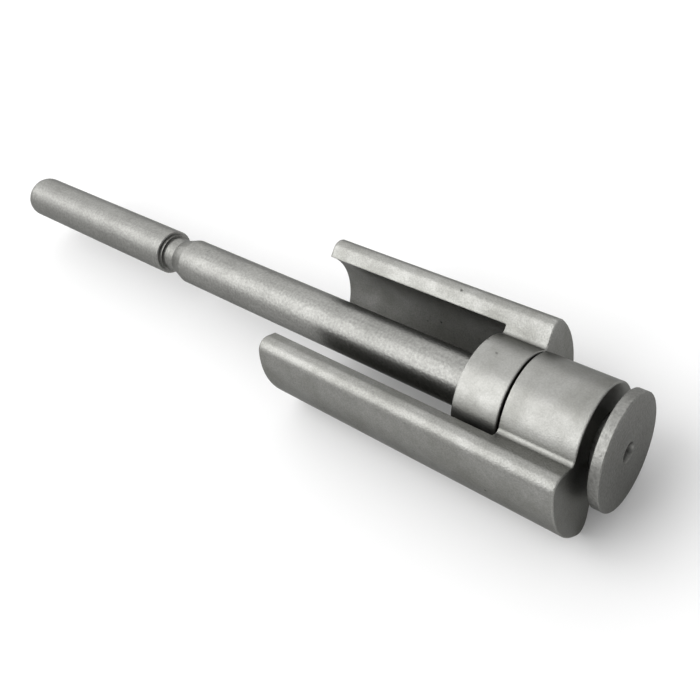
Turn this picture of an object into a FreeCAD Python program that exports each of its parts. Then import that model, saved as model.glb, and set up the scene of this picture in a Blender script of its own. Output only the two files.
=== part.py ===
import FreeCAD, Part
import math
import os

# Hinge pin door stop: a turned steel pin that replaces the pin of a butt hinge.
# Two loose stop arms turn on it. Each is one casting: a bored collar with a curved
# arm that runs down beside the hinge barrel. When the door opens, the two arms are
# pushed together around the back of the barrel and stop it.
#
# Sizes are in millimetres. The X axis is the pin's axis and points from the tip to
# the head. The origin is where the lower collar's seat face crosses the axis, which
# is the top of the hinge barrel. Z is up: the stop lies on the lower edges of its arms.

# Pin
PIN_DIAMETER = 8.0
PIN_BELOW_SEAT = 111.4
TIP_ROUND = 2.1
TIP_LAND = 43.6
SHOULDER_CHAMFER = 0.15
GROOVE_STEP_DEPTH = 0.5
GROOVE_STEP_LENGTH = 0.55
NECK_DEPTH = 0.9
NECK_LENGTH = 3.0
GROOVE_CHAMFER_LENGTH = 2.9

# Head, with the centre hole that the lathe held it by
HEAD_DIAMETER = 16.4
HEAD_THICKNESS = 1.6
HEAD_FACE_ROUND = 0.15
HEAD_BACK_CHAMFER = 0.15
CENTRE_CONE_DIAMETER = 3.0
CENTRE_CONE_ANGLE = 60.0
CENTRE_DRILL_DIAMETER = 1.5
CENTRE_DRILL_DEPTH = 3.2

# Collars of the two stop arms, one above the other on the pin
COLLAR_DIAMETER = 16.5
BORE_CLEARANCE = 0.12
BORE_CHAMFER = 0.3
LOWER_COLLAR_LENGTH = 6.9
UPPER_COLLAR_LENGTH = 10.87
COLLAR_GAP = 0.45
HEAD_GAP = 1.8

# Arms: each is a slice of a tube around the pin's axis, and its channel clears the
# hinge barrel and the other arm's collar
CHANNEL_CLEARANCE = 1.4
ARM_WALL = 3.45
ARM_ANGLE = 85.0
ARM_TOP_ANGLE = 56.5
LOWER_ARM_REACH = 33.4
UPPER_ARM_REACH = 32.2
ARM_EDGE_ROUND = 1.8
ARM_END_ROUND = 0.45
TOP_EDGE_CHAMFER = 0.12
CHANNEL_END_ROUND = 0.25
ROOT_FILLET = 0.7

# Places along the pin, and radii from its axis
lower_top = LOWER_COLLAR_LENGTH
upper_seat = lower_top + COLLAR_GAP
upper_top = upper_seat + UPPER_COLLAR_LENGTH
head_back = upper_top + HEAD_GAP
head_face = head_back + HEAD_THICKNESS
tip_end = -PIN_BELOW_SEAT
shoulder = tip_end + TIP_LAND
step_end = shoulder + GROOVE_STEP_LENGTH
neck_end = shoulder + NECK_LENGTH
shank_start = neck_end + GROOVE_CHAMFER_LENGTH

pin_radius = PIN_DIAMETER / 2
head_radius = HEAD_DIAMETER / 2
bore_radius = pin_radius + BORE_CLEARANCE / 2
collar_radius = COLLAR_DIAMETER / 2
channel_radius = collar_radius + CHANNEL_CLEARANCE
arm_radius = channel_radius + ARM_WALL

ORIGIN = FreeCAD.Vector(0, 0, 0)
AXIS = FreeCAD.Vector(1, 0, 0)
NEAR = 0.01


def turned(points, angle=360.0):
    """Solid swept about the pin's axis by a closed outline of (x, radius) points."""
    corners = [FreeCAD.Vector(x, 0, radius) for x, radius in points]
    outline = Part.makePolygon(corners + corners[:1])
    return Part.Face(outline).revolve(ORIGIN, AXIS, angle)


def reach(point):
    """Distance of a point from the pin's axis."""
    return math.hypot(point.y, point.z)


def middle(edge):
    """Point halfway along an edge."""
    return edge.valueAt((edge.FirstParameter + edge.LastParameter) / 2)


def ring_edges(shape, x, radius):
    """Edges that curve about the axis at this place and radius."""
    return [
        edge for edge in edges_at(shape, x)
        if not isinstance(edge.Curve, Part.Line) and abs(reach(middle(edge)) - radius) < NEAR
    ]


def long_edges(shape, radius):
    """Straight edges that run along the pin at this radius."""
    found = []
    for edge in shape.Edges:
        box = edge.BoundBox
        straight = isinstance(edge.Curve, Part.Line)
        along = box.XLength > NEAR and box.YLength < NEAR and box.ZLength < NEAR
        if straight and along and abs(reach(middle(edge)) - radius) < NEAR:
            found.append(edge)
    return found


def edges_at(shape, x, beyond=0.0):
    """Edges in the plane across the pin at this place, those beyond a radius only."""
    found = []
    for edge in shape.Edges:
        box = edge.BoundBox
        across = abs(box.XMin - x) < NEAR and abs(box.XMax - x) < NEAR
        if across and reach(middle(edge)) > beyond + NEAR:
            found.append(edge)
    return found


def make_pin():
    """Shank with its groove, rounded tip, head and centre hole, turned in one piece."""
    drill_radius = CENTRE_DRILL_DIAMETER / 2
    cone_radius = CENTRE_CONE_DIAMETER / 2
    cone_depth = (cone_radius - drill_radius) / math.tan(math.radians(CENTRE_CONE_ANGLE / 2))
    drill_end = head_face - CENTRE_DRILL_DEPTH
    outline = [
        (tip_end, 0),
        (tip_end, pin_radius),
        (shoulder - SHOULDER_CHAMFER, pin_radius),
        (shoulder, pin_radius - SHOULDER_CHAMFER),
        (shoulder, pin_radius - GROOVE_STEP_DEPTH),
        (step_end, pin_radius - GROOVE_STEP_DEPTH),
        (step_end, pin_radius - NECK_DEPTH),
        (neck_end, pin_radius - NECK_DEPTH),
        (shank_start, pin_radius),
        (head_back, pin_radius),
        (head_back, head_radius - HEAD_BACK_CHAMFER),
        (head_back + HEAD_BACK_CHAMFER, head_radius),
        (head_face, head_radius),
        (head_face, cone_radius),
        (head_face - cone_depth, drill_radius),
        (drill_end, drill_radius),
        (drill_end - drill_radius, 0),
    ]
    pin = turned(outline)
    pin = pin.makeFillet(TIP_ROUND, ring_edges(pin, tip_end, pin_radius))
    pin = pin.makeFillet(HEAD_FACE_ROUND, ring_edges(pin, head_face, head_radius))
    return pin.Solids[0]


def make_stop_arm(seat, top, arm_end, start_angle):
    """Bored collar from seat to top, and the arm that runs from it to arm_end."""
    mouth_radius = bore_radius + BORE_CHAMFER
    collar = turned([
        (seat, mouth_radius),
        (seat, collar_radius),
        (top, collar_radius),
        (top, mouth_radius),
        (top - BORE_CHAMFER, bore_radius),
        (seat + BORE_CHAMFER, bore_radius),
    ])

    # The arm and its web to the collar are one L-shaped outline, turned part of the way.
    root_radius = (mouth_radius + collar_radius) / 2
    arm = turned([
        (seat, root_radius),
        (seat, channel_radius),
        (arm_end, channel_radius),
        (arm_end, arm_radius),
        (top, arm_radius),
        (top, root_radius),
    ], ARM_ANGLE)
    arm.rotate(ORIGIN, AXIS, start_angle)
    arm = arm.makeFillet(ARM_EDGE_ROUND, long_edges(arm, arm_radius))
    arm = arm.makeFillet(ARM_END_ROUND, edges_at(arm, arm_end))
    arm = arm.makeFillet(CHANNEL_END_ROUND, ring_edges(arm, seat, channel_radius))

    stop = collar.fuse(arm).removeSplitter()
    stop = stop.makeFillet(ROOT_FILLET, long_edges(stop, collar_radius))
    stop = stop.makeChamfer(TOP_EDGE_CHAMFER, edges_at(stop, top, mouth_radius))
    return stop.Solids[0]


def show(name, shape):
    """Print what a piece came out as, and write it."""
    box = shape.BoundBox
    print(name, shape.isValid(), len(shape.Solids), round(shape.Volume, 1), box)
    shape.exportStep("parts/" + name + ".step")


os.makedirs("parts", exist_ok=True)

pin = make_pin()
lower_arm = make_stop_arm(0, lower_top, -LOWER_ARM_REACH, -ARM_TOP_ANGLE - ARM_ANGLE)
upper_arm = make_stop_arm(upper_seat, upper_top, -UPPER_ARM_REACH, ARM_TOP_ANGLE)

show("hinge_pin", pin)
show("lower_stop_arm", lower_arm)
show("upper_stop_arm", upper_arm)
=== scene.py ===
"""Looks of a hinge pin door stop: a turned steel pin and two blasted steel castings."""

import math

import bmesh
import bpy
from bpy.props import FloatProperty, FloatVectorProperty, PointerProperty
from mathutils import Euler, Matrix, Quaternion, Vector


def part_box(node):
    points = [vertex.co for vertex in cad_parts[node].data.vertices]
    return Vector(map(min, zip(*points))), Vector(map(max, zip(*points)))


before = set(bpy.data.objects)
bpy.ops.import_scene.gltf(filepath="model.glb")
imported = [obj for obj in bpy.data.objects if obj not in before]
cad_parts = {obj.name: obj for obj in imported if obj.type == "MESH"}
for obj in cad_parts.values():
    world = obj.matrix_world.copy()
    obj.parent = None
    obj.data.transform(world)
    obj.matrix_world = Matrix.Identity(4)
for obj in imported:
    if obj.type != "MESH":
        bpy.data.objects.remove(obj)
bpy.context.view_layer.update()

bl_info = {
    "name": "Hinge Pin Door Stop",
    "version": (1, 0, 0),
    "blender": (4, 5, 0),
    "location": "3D View > Sidebar > Door Stop",
    "description": "Finishes the pin and the stop arms of a hinge pin door stop and lights them",
    "category": "Object",
}

# The pin's axis is X. Its head is on the positive side of the collars' seat, which is at 0.
SEAT_PLACE = 0.0
FLOOR_HEIGHT = min(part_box(node)[0].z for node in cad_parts)
COLLAR_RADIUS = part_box("lower_stop_arm")[1].z

# Most of a noise pattern's values lie in this range, around its middle
FROM_NOISE = {"From Min": 0.3, "From Max": 0.7}
NOISE_MIDDLE = 0.5

# Values of a noise pattern where a patch begins and where it is full
STAIN_RANGE = {"From Min": 0.38, "From Max": 0.66}
SKIN_RANGE = {"From Min": 0.36, "From Max": 0.68}

# How far each pattern darkens and lightens the steel
PIN_GRAIN_SHADES = {"To Min": 0.80, "To Max": 1.16}
RING_SHADES = {"To Min": 0.97, "To Max": 1.03}
BLAST_SHADES = {"To Min": 0.82, "To Max": 1.14}
# Pits are painted darker, as painted shade in them
PIT_SHADES = {"To Min": 1.0, "To Max": 0.35}

# How strongly each pattern shows as relief, and its depth in metres
RING_RELIEF = {"Strength": 0.08, "Distance": 0.00002}
PIN_GRAIN_RELIEF = {"Strength": 0.75, "Distance": 0.00005}
BLAST_RELIEF = {"Strength": 0.7, "Distance": 0.00006}

# Heights of a nick and a pit, against a height of 1 for the grain
NICK_HEIGHT = -1.5
PIT_HEIGHT = -2.0

# A nick on the pin is this many times longer around the shank than along it
NICK_STRETCH = 4

# Painted shade in the lathe centre: how much light it takes, and how much of the hole it fills evenly
CENTRE_SHADE_DARKNESS = 0.7
CENTRE_SHADE_FILL = 0.8

# Turned collars: how much of the blast grain turning took away, and how far past them it returns
TURNED_AWAY = 0.5
COLLAR_FADE = 0.0006

# Wear and painted highlight on edges: cosine between the true normal and a rounded one where it begins and
# is full
WEAR_AND_HIGHLIGHT_RANGE = {"From Min": 0.98, "From Max": 0.85, "To Max": 0.7}
EDGE_SAMPLES = 4

# A Mix node's sockets share their names, so they are told by place
MIX_FACTOR = 0
MIX_VALUE_A = 2
MIX_VALUE_B = 3
MIX_COLOUR_A = 6
MIX_COLOUR_B = 7
MIX_COLOUR_RESULT = 2

# Sky: its level away from the light, towards the light and along the horizon
SKY_DIM = 0.2
SKY_BRIGHT = 1.0
SKY_HORIZON = 0.9

# Parts of a direction along the pin and upwards over which the sky changes
SKY_ALONG = {"From Min": 0.2, "From Max": -0.9}
SKY_UP = {"From Min": 0.0, "From Max": 0.6}

# Soft lamps: degrees around from the head's side, degrees up, strength, and width in degrees
LAMPS = (
    # Broad light behind the tip, which the collars and the shank mirror
    ("back_lamp", 150, 45, 1.75, 90),
    # Low light on the cone of the groove
    ("low_lamp", 180, 9, 0.35, 30),
    # Light on the near arm and the paper before it
    ("side_lamp", 240, 30, 0.5, 40),
    # Light that the arms' upper edges mirror
    ("top_lamp", 219, 50, 1.35, 52),
    # Fill from the head's side, for views from the tip
    ("front_lamp", 20, 45, 0.5, 70),
)

# Camera sensor in millimetres, and the nearest distance that it sees in metres
SENSOR_WIDTH = 36.0
CLIP_START = 0.005


def linear(hex_colour):
    """Linear red, green, blue and alpha of an sRGB hex colour."""
    channels = [int(hex_colour[i:i + 2], 16) / 255 for i in (1, 3, 5)]
    return [c / 12.92 if c <= 0.04045 else ((c + 0.055) / 1.055) ** 2.4 for c in channels] + [1.0]


def add(tree, kind, sockets, **settings):
    """New node with its settings; each socket gets a value or a link from an output."""
    node = tree.nodes.new(kind)
    for name, value in settings.items():
        setattr(node, name, value)
    for socket, value in sockets.items():
        if isinstance(value, bpy.types.NodeSocket):
            tree.links.new(value, node.inputs[socket])
        else:
            node.inputs[socket].default_value = value
    return node


class PinFinish(bpy.types.PropertyGroup):
    """Finish of the turned pin."""
    steel: FloatVectorProperty(
        name="Steel", description="Colour of the clean turned steel",
        size=4, min=0, max=1, subtype="COLOR", default=linear("#80807D"))
    stain: FloatVectorProperty(
        name="Stain", description="Colour where cutting oil and handling have dulled it",
        size=4, min=0, max=1, subtype="COLOR", default=linear("#797976"))
    stain_size: FloatProperty(
        name="Stain size", description="Size of the dull patches",
        default=0.007, min=0.001, max=0.05, precision=4, unit="LENGTH")
    mark_width: FloatProperty(
        name="Lathe mark", description="Width of the marks that the lathe tool left",
        default=0.00035, min=0.0001, max=0.002, precision=5, unit="LENGTH")
    grain_size: FloatProperty(
        name="Grain", description="Size of the fine satin grain",
        default=0.0004, min=0.0001, max=0.002, precision=5, unit="LENGTH")
    nick_spacing: FloatProperty(
        name="Nick spacing", description="Distance between the small nicks from handling",
        default=0.006, min=0.001, max=0.05, precision=4, unit="LENGTH")
    centre_radius: FloatProperty(
        name="Lathe centre", description="Radius of the centre hole in the head",
        default=0.0015, min=0.0005, max=0.005, precision=5, unit="LENGTH")
    edge_round: FloatProperty(
        name="Edge round", description="Radius that the light sees on sharp edges",
        default=0.00008, min=0, max=0.001, precision=5, unit="LENGTH")
    smooth: FloatProperty(
        name="Smooth", description="Roughness of the cleanest steel",
        default=0.345, min=0, max=1, subtype="FACTOR")
    dull: FloatProperty(
        name="Dull", description="Roughness of the dullest patches",
        default=0.4, min=0, max=1, subtype="FACTOR")
    grazing: FloatProperty(
        name="Grazing", description="Share of a perfect metal's mirror that is left at a grazing angle",
        default=0.5, min=0, max=1, subtype="FACTOR")


class ArmFinish(bpy.types.PropertyGroup):
    """Finish of the blasted castings."""
    steel: FloatVectorProperty(
        name="Steel", description="Colour of the blasted steel",
        size=4, min=0, max=1, subtype="COLOR", default=linear("#898986"))
    skin: FloatVectorProperty(
        name="Casting skin", description="Colour of the darker patches of casting skin",
        size=4, min=0, max=1, subtype="COLOR", default=linear("#7C7C78"))
    # Colour of the edges: partly wear, partly a painted highlight
    worn_and_highlight: FloatVectorProperty(
        name="Worn edge", description="Colour of edges that have been rubbed bright",
        size=4, min=0, max=1, subtype="COLOR", default=linear("#ABABA7"))
    grain_size: FloatProperty(
        name="Blast grain", description="Size of the dents that the blasting beads left",
        default=0.00024, min=0.0001, max=0.002, precision=5, unit="LENGTH")
    patch_size: FloatProperty(
        name="Patch", description="Size of the patches of casting skin",
        default=0.005, min=0.001, max=0.05, precision=4, unit="LENGTH")
    pit_spacing: FloatProperty(
        name="Pit spacing", description="Distance between the small casting pits",
        default=0.0028, min=0.001, max=0.05, precision=4, unit="LENGTH")
    edge_round: FloatProperty(
        name="Edge round", description="Radius that the light sees on sharp edges, and width of their wear",
        default=0.0003, min=0, max=0.001, precision=5, unit="LENGTH")
    smooth: FloatProperty(
        name="Smooth", description="Roughness of the clean blasted steel",
        default=0.3, min=0, max=1, subtype="FACTOR")
    dull: FloatProperty(
        name="Dull", description="Roughness of the casting skin",
        default=0.44, min=0, max=1, subtype="FACTOR")
    grazing: FloatProperty(
        name="Grazing", description="Share of a perfect metal's mirror that is left at a grazing angle",
        default=0.45, min=0, max=1, subtype="FACTOR")


class StudioStage(bpy.types.PropertyGroup):
    """Floor, light and camera."""
    paper: FloatVectorProperty(
        name="Paper", description="Colour of the paper that the stop lies on",
        size=4, min=0, max=1, subtype="COLOR", default=linear("#E8E8E8"))
    paper_lift: FloatProperty(
        name="Paper lift", description="How far plain white replaces the lit paper where it is seen",
        default=0.1, min=0, max=1, subtype="FACTOR")
    paper_half: FloatProperty(
        name="Paper half width", description="Half the width of the paper",
        default=4.0, min=0.2, unit="LENGTH")
    camera_place: FloatVectorProperty(
        name="Camera place", description="Where the camera stands",
        size=3, default=(0.05615, -0.05118, 0.10786), precision=5, subtype="TRANSLATION", unit="LENGTH")
    camera_aim: FloatVectorProperty(
        name="Camera aim", description="Point that the camera looks at",
        size=3, default=(-0.04041, 0.02192, 0.0), precision=5, subtype="TRANSLATION", unit="LENGTH")
    camera_roll: FloatProperty(
        name="Camera roll", description="How far the camera leans to one side",
        default=math.radians(-22.73), subtype="ANGLE")
    camera_lens: FloatProperty(
        name="Lens", description="Focal length in millimetres on a 36 mm wide sensor",
        default=46.84, min=1, unit="CAMERA")
    camera_shift: FloatVectorProperty(
        name="Shift", description="How far the frame sits right of and above the lens axis, in frame widths",
        size=2, default=(-0.0086, -0.2), min=-1, max=1)


def start_steel(name, grazing):
    """New bare metal, as its material, node tree and shader."""
    material = bpy.data.materials.new(name)
    material.use_nodes = True
    shader = material.node_tree.nodes["Principled BSDF"]
    shader.inputs["Metallic"].default_value = 1.0
    shader.inputs["Specular Tint"].default_value = (grazing, grazing, grazing, 1.0)
    return material, material.node_tree, shader


def axis_distance(tree, place):
    """Distance of a place from the pin's axis."""
    across = add(tree, "ShaderNodeVectorMath", {0: place, 1: (0, 1, 1)}, operation="MULTIPLY")
    return add(tree, "ShaderNodeVectorMath", {0: across.outputs[0]}, operation="LENGTH").outputs["Value"]


def dents(tree, place, spacing, missing, reach, rim):
    """Scattered dents: 1 within a dent, 0 around it.

    Each dent is the middle of a cell. The share missing of all cells has none. The largest
    dent goes reach of a cell out from the middle. The soft edge is rim of a cell wide.
    """
    cells = add(tree, "ShaderNodeTexVoronoi", {"Vector": place, "Scale": 1 / spacing})
    chance = add(tree, "ShaderNodeSeparateColor", {"Color": cells.outputs["Color"]})
    size = add(tree, "ShaderNodeMapRange", {
        "Value": chance.outputs[0], "From Min": missing, "From Max": 1.0, "To Min": 0.0, "To Max": reach})
    inside = add(tree, "ShaderNodeMath", {
        0: size.outputs[0], 1: cells.outputs["Distance"]}, operation="SUBTRACT")
    return add(tree, "ShaderNodeMapRange", {
        "Value": inside.outputs[0], "From Min": 0.0, "From Max": rim}).outputs[0]


def turned_steel(look):
    """Stainless steel, turned and satin-rubbed."""
    # It gives the eye a soft broad highlight along the shank, faint rings around the axis,
    # a fine grain, a few nicks, and dull patches from oil and handling. Real lathe marks and
    # satin grain are finer than a pixel of the render, so both are drawn coarser, to show.
    material, tree, shader = start_steel("stainless_steel_turned_satin", look.grazing)
    place = add(tree, "ShaderNodeTexCoord", {}).outputs["Object"]
    along = add(tree, "ShaderNodeSeparateXYZ", {"Vector": place}).outputs["X"]
    radius = axis_distance(tree, place)

    # Along the shank and out over the head's faces, as the tool travelled
    travel = add(tree, "ShaderNodeMath", {0: along, 1: radius}, operation="ADD")
    marks = add(tree, "ShaderNodeTexNoise", {
        "W": travel.outputs[0], "Scale": 1 / look.mark_width, "Detail": 2.0}, noise_dimensions="1D")
    grain = add(tree, "ShaderNodeTexNoise", {
        "Vector": place, "Scale": 1 / look.grain_size, "Detail": 2.0, "Roughness": 0.6})
    stain = add(tree, "ShaderNodeTexNoise", {
        "Vector": place, "Scale": 1 / look.stain_size, "Detail": 4.0, "Roughness": 0.6})
    narrow = add(tree, "ShaderNodeVectorMath", {0: place, 1: (NICK_STRETCH, 1, 1)}, operation="MULTIPLY")
    nick = dents(tree, narrow.outputs[0], look.nick_spacing, missing=0.72, reach=0.12, rim=0.05)

    # The lathe centre of the head is painted dark, as painted shade in the hole
    hole = add(tree, "ShaderNodeMapRange", {
        "Value": radius, "From Min": look.centre_radius, "From Max": CENTRE_SHADE_FILL * look.centre_radius,
        "To Min": 0.0, "To Max": CENTRE_SHADE_DARKNESS})
    headed = add(tree, "ShaderNodeMath", {0: along, 1: SEAT_PLACE}, operation="GREATER_THAN")
    # Painted shade in the hole: this mask darkens the colour there
    oil = add(tree, "ShaderNodeMath", {0: hole.outputs[0], 1: headed.outputs[0]}, operation="MULTIPLY")
    clean = add(tree, "ShaderNodeMath", {0: 1.0, 1: oil.outputs[0]}, operation="SUBTRACT")

    stained = add(tree, "ShaderNodeMapRange", {**STAIN_RANGE, "Value": stain.outputs[0]})
    tint = add(tree, "ShaderNodeMix", {
        MIX_FACTOR: stained.outputs[0], MIX_COLOUR_A: look.steel, MIX_COLOUR_B: look.stain},
        data_type="RGBA")
    fleck = add(tree, "ShaderNodeMapRange", {**FROM_NOISE, **PIN_GRAIN_SHADES, "Value": grain.outputs[0]})
    ring = add(tree, "ShaderNodeMapRange", {**FROM_NOISE, **RING_SHADES, "Value": marks.outputs[0]})
    shade = add(tree, "ShaderNodeMath", {0: fleck.outputs[0], 1: ring.outputs[0]}, operation="MULTIPLY")
    # Painted shade in the lathe centre darkens the colour here
    shade = add(tree, "ShaderNodeMath", {0: shade.outputs[0], 1: clean.outputs[0]}, operation="MULTIPLY")
    colour = add(tree, "ShaderNodeVectorMath", {
        0: tint.outputs[MIX_COLOUR_RESULT], "Scale": shade.outputs[0]}, operation="SCALE")
    tree.links.new(colour.outputs[0], shader.inputs["Base Color"])

    rough = add(tree, "ShaderNodeMapRange", {
        **FROM_NOISE, "Value": stain.outputs[0], "To Min": look.smooth, "To Max": look.dull})
    tree.links.new(rough.outputs[0], shader.inputs["Roughness"])

    edge = add(tree, "ShaderNodeBevel", {"Radius": look.edge_round}, samples=EDGE_SAMPLES)
    ringed = add(tree, "ShaderNodeBump", {
        **RING_RELIEF, "Height": marks.outputs[0], "Normal": edge.outputs["Normal"]})
    relief = add(tree, "ShaderNodeMath", {0: nick, 1: NICK_HEIGHT, 2: grain.outputs[0]},
                 operation="MULTIPLY_ADD")
    grained = add(tree, "ShaderNodeBump", {
        **PIN_GRAIN_RELIEF, "Height": relief.outputs[0], "Normal": ringed.outputs["Normal"]})
    tree.links.new(grained.outputs["Normal"], shader.inputs["Normal"])
    return material


def blasted_steel(look):
    """Stainless steel, investment cast and bead-blasted."""
    # It gives the eye an even satin grey with a fine grain, faint darker patches of casting
    # skin, a few pits painted dark as painted shade, and bright edges, partly wear and partly a
    # painted highlight. Real bead dents are finer than a pixel of the render, so they are drawn
    # coarser, to show.
    material, tree, shader = start_steel("stainless_steel_cast_bead_blasted", look.grazing)
    place = add(tree, "ShaderNodeTexCoord", {}).outputs["Object"]
    patch = add(tree, "ShaderNodeTexNoise", {
        "Vector": place, "Scale": 1 / look.patch_size, "Detail": 4.0, "Roughness": 0.62})
    pit = dents(tree, place, look.pit_spacing, missing=0.6, reach=0.13, rim=0.06)
    beads = add(tree, "ShaderNodeTexNoise", {
        "Vector": place, "Scale": 1 / look.grain_size, "Detail": 2.0, "Roughness": 0.6})

    # The collars were turned after casting, so the grain is fainter there
    turned = add(tree, "ShaderNodeMapRange", {
        "Value": axis_distance(tree, place), "From Min": COLLAR_RADIUS,
        "From Max": COLLAR_RADIUS + COLLAR_FADE, "To Min": TURNED_AWAY, "To Max": 0.0})
    grain = add(tree, "ShaderNodeMix", {
        MIX_FACTOR: turned.outputs[0], MIX_VALUE_A: beads.outputs[0], MIX_VALUE_B: NOISE_MIDDLE})

    # Edges painted bright, partly as wear and partly as a painted highlight: where a rounded normal leaves
    # the true one
    edge = add(tree, "ShaderNodeBevel", {"Radius": look.edge_round}, samples=EDGE_SAMPLES)
    facing = add(tree, "ShaderNodeNewGeometry", {})
    turn = add(tree, "ShaderNodeVectorMath", {
        0: edge.outputs["Normal"], 1: facing.outputs["Normal"]}, operation="DOT_PRODUCT")
    wear = add(tree, "ShaderNodeMapRange", {**WEAR_AND_HIGHLIGHT_RANGE, "Value": turn.outputs["Value"]})

    skin = add(tree, "ShaderNodeMapRange", {**SKIN_RANGE, "Value": patch.outputs[0]})
    tint = add(tree, "ShaderNodeMix", {
        MIX_FACTOR: skin.outputs[0], MIX_COLOUR_A: look.steel, MIX_COLOUR_B: look.skin},
        data_type="RGBA")
    # The edges take the bright colour, partly as wear and partly as a painted highlight
    rubbed = add(tree, "ShaderNodeMix", {
        MIX_FACTOR: wear.outputs[0], MIX_COLOUR_A: tint.outputs[MIX_COLOUR_RESULT],
        MIX_COLOUR_B: look.worn_and_highlight}, data_type="RGBA")
    fleck = add(tree, "ShaderNodeMapRange", {**FROM_NOISE, **BLAST_SHADES, "Value": grain.outputs[0]})
    # Painted shade in the pits darkens the colour there
    painted_pit_shade = add(tree, "ShaderNodeMapRange", {**PIT_SHADES, "Value": pit})
    shade = add(tree, "ShaderNodeMath", {0: fleck.outputs[0], 1: painted_pit_shade.outputs[0]}, operation="MULTIPLY")
    colour = add(tree, "ShaderNodeVectorMath", {
        0: rubbed.outputs[MIX_COLOUR_RESULT], "Scale": shade.outputs[0]}, operation="SCALE")
    tree.links.new(colour.outputs[0], shader.inputs["Base Color"])

    rough = add(tree, "ShaderNodeMapRange", {
        **FROM_NOISE, "Value": patch.outputs[0], "To Min": look.smooth, "To Max": look.dull})
    tree.links.new(rough.outputs[0], shader.inputs["Roughness"])

    relief = add(tree, "ShaderNodeMath", {0: pit, 1: PIT_HEIGHT, 2: grain.outputs[0]},
                 operation="MULTIPLY_ADD")
    blasted = add(tree, "ShaderNodeBump", {
        **BLAST_RELIEF, "Height": relief.outputs[0], "Normal": edge.outputs["Normal"]})
    tree.links.new(blasted.outputs["Normal"], shader.inputs["Normal"])
    return material


def matt_paper(look):
    """Matt white paper."""
    # It gives the eye a plain diffuse white, lifted a little where it is seen directly or
    # mirrored, so that it reads as white and still takes the shadow.
    material = bpy.data.materials.new("paper_matt_white")
    material.use_nodes = True
    tree = material.node_tree
    tree.nodes.clear()
    path = add(tree, "ShaderNodeLightPath", {})
    seen = add(tree, "ShaderNodeMath", {
        0: path.outputs["Is Camera Ray"], 1: path.outputs["Is Glossy Ray"]}, operation="MAXIMUM")
    seen = add(tree, "ShaderNodeMath", {
        0: seen.outputs[0], 1: path.outputs["Is Transmission Ray"]}, operation="MAXIMUM")
    lift = add(tree, "ShaderNodeMath", {0: seen.outputs[0], 1: look.paper_lift}, operation="MULTIPLY")
    matt = add(tree, "ShaderNodeBsdfDiffuse", {"Color": look.paper})
    white = add(tree, "ShaderNodeEmission", {"Strength": 1.0})
    mixed = add(tree, "ShaderNodeMixShader", {
        0: lift.outputs[0], 1: matt.outputs[0], 2: white.outputs[0]})
    add(tree, "ShaderNodeOutputMaterial", {"Surface": mixed.outputs[0]})
    return material


def dress(node, material):
    """Gives a CAD node its finished material."""
    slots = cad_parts[node].material_slots
    if not slots:
        raise RuntimeError(node + " has no material slot")
    for slot in slots:
        slot.material = material


def lay_paper(scene, look):
    """Flat paper that the stop lies on."""
    shape = bmesh.new()
    bmesh.ops.create_grid(shape, x_segments=1, y_segments=1, size=look.paper_half)
    bmesh.ops.translate(shape, verts=shape.verts, vec=(0, 0, FLOOR_HEIGHT))
    mesh = bpy.data.meshes.new("paper_floor")
    shape.to_mesh(mesh)
    shape.free()
    mesh.materials.append(matt_paper(look))
    floor = bpy.data.objects.new("paper_floor", mesh)
    scene.collection.objects.link(floor)


def hang_sky(scene):
    """White sky, brightest behind the pin's tip and along the horizon, and dim overhead."""
    world = bpy.data.worlds.new("studio")
    world.use_nodes = True
    tree = world.node_tree
    towards = add(tree, "ShaderNodeTexCoord", {}).outputs["Generated"]
    axes = add(tree, "ShaderNodeSeparateXYZ", {"Vector": towards})
    behind = add(tree, "ShaderNodeMapRange", {
        **SKY_ALONG, "Value": axes.outputs["X"], "To Min": SKY_DIM, "To Max": SKY_BRIGHT},
        interpolation_type="SMOOTHSTEP")
    horizon = add(tree, "ShaderNodeMapRange", {
        **SKY_UP, "Value": axes.outputs["Z"], "To Min": SKY_HORIZON, "To Max": SKY_DIM})
    glow = add(tree, "ShaderNodeMath", {
        0: behind.outputs[0], 1: horizon.outputs[0]}, operation="MAXIMUM")
    sky = tree.nodes["Background"]
    sky.inputs["Color"].default_value = (1, 1, 1, 1)
    tree.links.new(glow.outputs[0], sky.inputs["Strength"])
    scene.world = world


def place_lamps(scene):
    """Soft lamps, far away, each turned to shine from its direction."""
    for name, around, up, strength, width in LAMPS:
        towards = Vector((1, 0, 0))
        towards.rotate(Euler((0, -math.radians(up), math.radians(around))))
        lamp = bpy.data.lights.new(name, "SUN")
        lamp.energy = strength
        lamp.angle = math.radians(width)
        lamp_object = bpy.data.objects.new(name, lamp)
        lamp_object.rotation_euler = towards.to_track_quat("Z", "Y").to_euler()
        scene.collection.objects.link(lamp_object)


def place_camera(scene, look):
    """Camera at its place, aimed and then rolled about its line of sight."""
    camera = bpy.data.cameras.new("camera")
    camera.sensor_width = SENSOR_WIDTH
    camera.lens = look.camera_lens
    camera.shift_x, camera.shift_y = look.camera_shift
    camera.clip_start = CLIP_START
    camera_object = bpy.data.objects.new("camera", camera)
    place = Vector(look.camera_place)
    aim = (Vector(look.camera_aim) - place).to_track_quat("-Z", "Y")
    camera_object.location = place
    camera_object.rotation_euler = (aim @ Quaternion((0, 0, 1), look.camera_roll)).to_euler()
    scene.collection.objects.link(camera_object)
    scene.camera = camera_object


class DOORSTOP_OT_pin(bpy.types.Operator):
    """Finish the turned pin"""
    bl_idname = "door_stop.pin"
    bl_label = "Finish the pin"

    def execute(self, context):
        dress("hinge_pin", turned_steel(context.scene.door_stop_pin))
        return {"FINISHED"}


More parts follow.
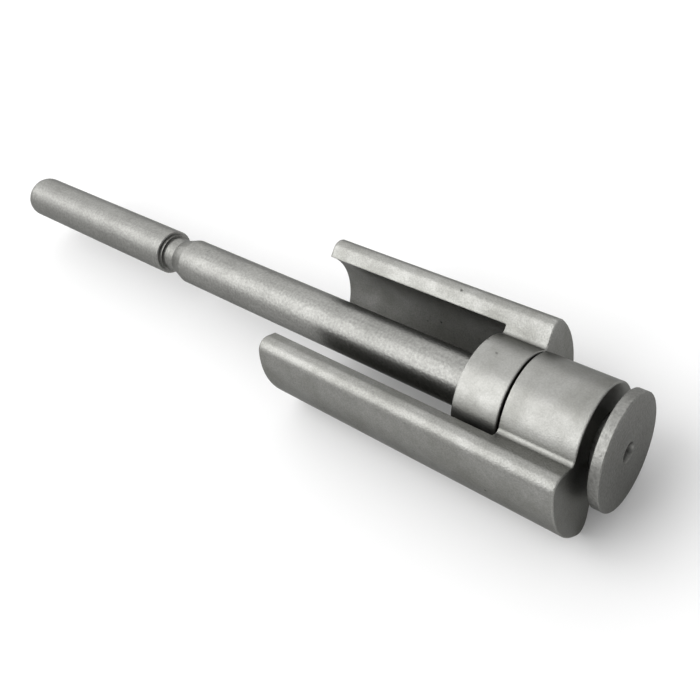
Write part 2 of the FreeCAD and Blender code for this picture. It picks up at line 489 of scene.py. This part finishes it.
class DOORSTOP_OT_arms(bpy.types.Operator):
    """Finish the two stop arms"""
    bl_idname = "door_stop.arms"
    bl_label = "Finish the stop arms"

    def execute(self, context):
        material = blasted_steel(context.scene.door_stop_arms)
        for node in ("lower_stop_arm", "upper_stop_arm"):
            dress(node, material)
        return {"FINISHED"}


class DOORSTOP_OT_stage(bpy.types.Operator):
    """Lay the paper floor and place the sky, the lamps and the camera"""
    bl_idname = "door_stop.stage"
    bl_label = "Set the stage"

    def execute(self, context):
        scene = context.scene
        look = scene.door_stop_stage
        scene.view_settings.view_transform = "Standard"
        lay_paper(scene, look)
        hang_sky(scene)
        place_lamps(scene)
        place_camera(scene, look)
        return {"FINISHED"}


class DOORSTOP_PT_sidebar(bpy.types.Panel):
    """Steps and settings of the door stop"""
    bl_label = "Hinge Pin Door Stop"
    bl_idname = "DOORSTOP_PT_sidebar"
    bl_space_type = "VIEW_3D"
    bl_region_type = "UI"
    bl_category = "Door Stop"

    def draw(self, context):
        for operator, settings in (
            (DOORSTOP_OT_pin, context.scene.door_stop_pin),
            (DOORSTOP_OT_arms, context.scene.door_stop_arms),
            (DOORSTOP_OT_stage, context.scene.door_stop_stage),
        ):
            box = self.layout.box()
            for name in settings.__annotations__:
                box.prop(settings, name)
            box.operator(operator.bl_idname)


CLASSES = (
    PinFinish, ArmFinish, StudioStage,
    DOORSTOP_OT_pin, DOORSTOP_OT_arms, DOORSTOP_OT_stage, DOORSTOP_PT_sidebar,
)


def register():
    for cls in CLASSES:
        bpy.utils.register_class(cls)
    bpy.types.Scene.door_stop_pin = PointerProperty(type=PinFinish)
    bpy.types.Scene.door_stop_arms = PointerProperty(type=ArmFinish)
    bpy.types.Scene.door_stop_stage = PointerProperty(type=StudioStage)


def unregister():
    del bpy.types.Scene.door_stop_stage
    del bpy.types.Scene.door_stop_arms
    del bpy.types.Scene.door_stop_pin
    for cls in reversed(CLASSES):
        bpy.utils.unregister_class(cls)


def main():
    register()
    bpy.ops.door_stop.pin()
    bpy.ops.door_stop.arms()
    bpy.ops.door_stop.stage()


if __name__ == "__main__":
    main()
